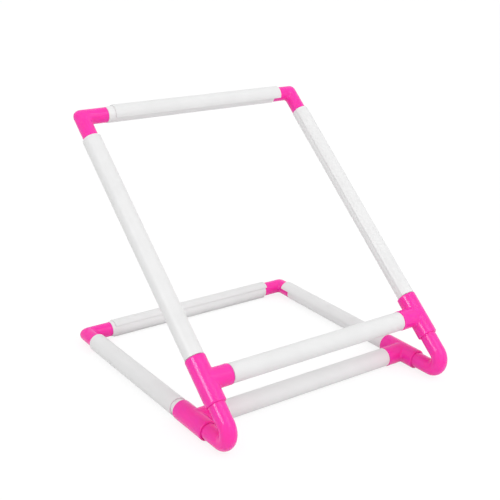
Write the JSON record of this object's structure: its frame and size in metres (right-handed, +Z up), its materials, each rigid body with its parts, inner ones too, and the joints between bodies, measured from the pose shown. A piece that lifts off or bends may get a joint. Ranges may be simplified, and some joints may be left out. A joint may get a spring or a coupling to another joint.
{
  "type": "embroidery frame stand",
  "caption": "Table-top embroidery frame stand of push-together plastic tube: a leaning frame over a flat base frame, on bent stand elbows, with a slotted cloth clip round every tube.",
  "frame": {"origin": "on the table, under the middle of the whole stand from side to side and from front to back", "axes": "+Z up, +X to the right of the person who sews, +Y away from that person, towards the back of the base frame"},
  "size_m": [0.339, 0.348, 0.3137],
  "materials": {
    "pink": "gloss",
    "tube_white": "satin",
    "clip_white": "satin"
  },
  "bodies": {
    "frame": {"top_tube": "tube_white", "left_upright_tube": "tube_white", "right_upright_tube": "tube_white", "lower_tube": "tube_white", "back_tube": "tube_white", "left_rail_tube": "tube_white", "right_rail_tube": "tube_white", "front_tube": "tube_white", "top_left_elbow": "pink", "top_right_elbow": "pink", "back_left_elbow": "pink", "back_right_elbow": "pink", "upper_left_tee": "pink", "upper_right_tee": "pink", "base_left_tee": "pink", "base_right_tee": "pink", "left_stand_elbow": "pink", "right_stand_elbow": "pink"},
    "top_clip": {"top_clip": "clip_white"},
    "left_upright_clip": {"left_upright_clip": "clip_white"},
    "right_upright_clip": {"right_upright_clip": "clip_white"},
    "lower_clip": {"lower_clip": "clip_white"},
    "back_clip": {"back_clip": "clip_white"},
    "left_rail_clip": {"left_rail_clip": "clip_white"},
    "right_rail_clip": {"right_rail_clip": "clip_white"},
    "front_clip": {"front_clip": "clip_white"}
  },
  "joints": [
    {"name": "top_clip_turn", "type": "hinge", "parent": "frame", "child": "top_clip", "pos_m": [0, 0.15697, 0.30218], "axis": [1, 0, 0], "continuous": true},
    {"name": "left_upright_clip_turn", "type": "hinge", "parent": "frame", "child": "left_upright_clip", "pos_m": [-0.1572, 0.0174, 0.18506], "axis": [0, 0.766, 0.6428], "continuous": true},
    {"name": "right_upright_clip_turn", "type": "hinge", "parent": "frame", "child": "right_upright_clip", "pos_m": [0.1572, 0.0174, 0.18506], "axis": [0, 0.766, 0.6428], "continuous": true},
    {"name": "lower_clip_turn", "type": "hinge", "parent": "frame", "child": "lower_clip", "pos_m": [0, -0.11927, 0.07039], "axis": [1, 0, 0], "continuous": true},
    {"name": "back_clip_turn", "type": "hinge", "parent": "frame", "child": "back_clip", "pos_m": [0, 0.16248, 0.0123], "axis": [1, 0, 0], "continuous": true},
    {"name": "left_rail_clip_turn", "type": "hinge", "parent": "frame", "child": "left_rail_clip", "pos_m": [-0.1572, 0.03027, 0.0123], "axis": [0, 1, 0], "continuous": true},
    {"name": "right_rail_clip_turn", "type": "hinge", "parent": "frame", "child": "right_rail_clip", "pos_m": [0.1572, 0.03027, 0.0123], "axis": [0, 1, 0], "continuous": true},
    {"name": "front_clip_turn", "type": "hinge", "parent": "frame", "child": "front_clip", "pos_m": [0, -0.09813, 0.0123], "axis": [1, 0, 0], "continuous": true}
  ]
}
